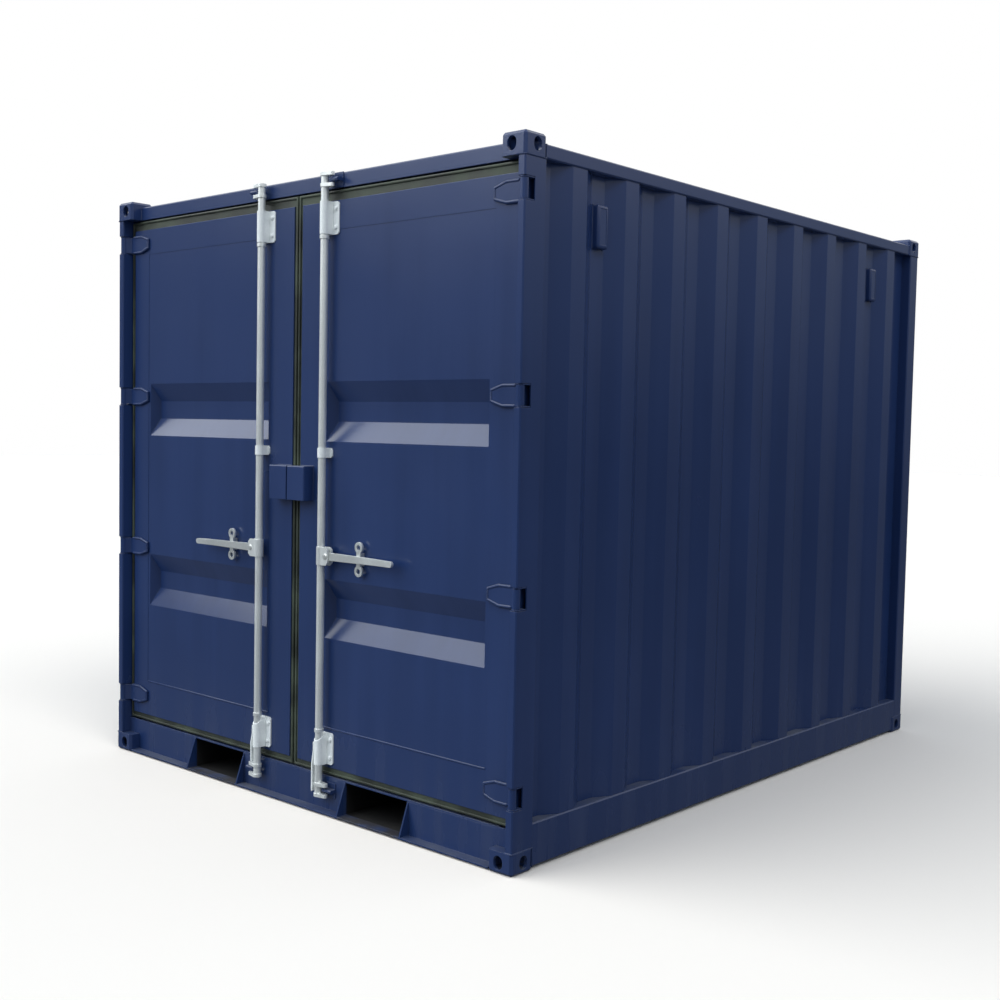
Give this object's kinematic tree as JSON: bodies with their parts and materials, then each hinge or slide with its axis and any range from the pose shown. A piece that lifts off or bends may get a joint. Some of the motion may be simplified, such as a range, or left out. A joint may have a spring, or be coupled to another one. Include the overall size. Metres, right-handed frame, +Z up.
{
  "type": "steel storage container with double end doors",
  "caption": "Small ribbed steel box container with double end doors on side hinges, lock rods with handles, corner castings and fork pockets under the doors.",
  "frame": {"origin": "on the ground at the middle of the footprint", "axes": "+Z up, the doors face -Y, +X to the right as seen from in front of the doors"},
  "size_m": [2.2, 2.77, 2.26],
  "materials": {
    "navy_paint": "satin marine paint",
    "zinc": "hot-dip galvanised",
    "gasket": "matt",
    "plywood": "film-faced",
    "underseal": "matt black bitumen coat"
  },
  "bodies": {
    "container": {"corner_castings_top": "navy_paint", "corner_castings_bottom": "navy_paint", "front_post_left": "navy_paint", "front_post_right": "navy_paint", "rear_post_left": "navy_paint", "rear_post_right": "navy_paint", "door_header": "navy_paint", "door_sill": "navy_paint", "rear_header": "navy_paint", "rear_sill": "navy_paint", "top_rail_left": "navy_paint", "top_rail_right": "navy_paint", "bottom_rail_left": "navy_paint", "bottom_rail_right": "navy_paint", "side_wall_left": "navy_paint", "side_wall_right": "navy_paint", "back_wall": "navy_paint", "roof_panel": "navy_paint", "floor_deck": "plywood", "floor_bearers": "underseal", "fork_pockets": "underseal", "vent_hoods": "navy_paint", "hinge_pins": "navy_paint", "cam_keepers": "navy_paint"},
    "door_left": {"door_frame_left": "navy_paint", "door_panel_left": "navy_paint", "door_gasket_left": "gasket", "hinge_blades_left": "navy_paint", "rod_brackets_left": "zinc", "handle_catch_left": "zinc", "lock_box_left": "navy_paint", "lock_tongue_left": "navy_paint"},
    "rod_left": {"lock_rod_left": "zinc"},
    "handle_left": {"lock_handle_left": "zinc"},
    "door_right": {"door_frame_right": "navy_paint", "door_panel_right": "navy_paint", "door_gasket_right": "gasket", "hinge_blades_right": "navy_paint", "rod_brackets_right": "zinc", "handle_catch_right": "zinc", "lock_box_right": "navy_paint", "lock_tongue_right": "navy_paint"},
    "rod_right": {"lock_rod_right": "zinc"},
    "handle_right": {"lock_handle_right": "zinc"}
  },
  "joints": [
    {"name": "door_left_swing", "type": "hinge", "parent": "container", "child": "door_left", "pos_m": [-1.082, -1.367, 1.165], "axis": [0, 0, -1], "range_deg": [0, 265]},
    {"name": "rod_left_turn", "type": "hinge", "parent": "door_left", "child": "rod_left", "pos_m": [-0.175, -1.368, 1.15], "axis": [0, 0, -1], "range_deg": [-100, 0]},
    {"name": "handle_left_lift", "type": "hinge", "parent": "rod_left", "child": "handle_left", "pos_m": [-0.211, -1.368, 0.915], "axis": [0, 1, 0], "range_deg": [0, 30]},
    {"name": "door_right_swing", "type": "hinge", "parent": "container", "child": "door_right", "pos_m": [1.082, -1.367, 1.165], "axis": [0, 0, 1], "range_deg": [0, 265]},
    {"name": "rod_right_turn", "type": "hinge", "parent": "door_right", "child": "rod_right", "pos_m": [0.175, -1.368, 1.15], "axis": [0, 0, 1], "range_deg": [-100, 0]},
    {"name": "handle_right_lift", "type": "hinge", "parent": "rod_right", "child": "handle_right", "pos_m": [0.211, -1.368, 0.915], "axis": [0, -1, 0], "range_deg": [0, 30]}
  ]
}
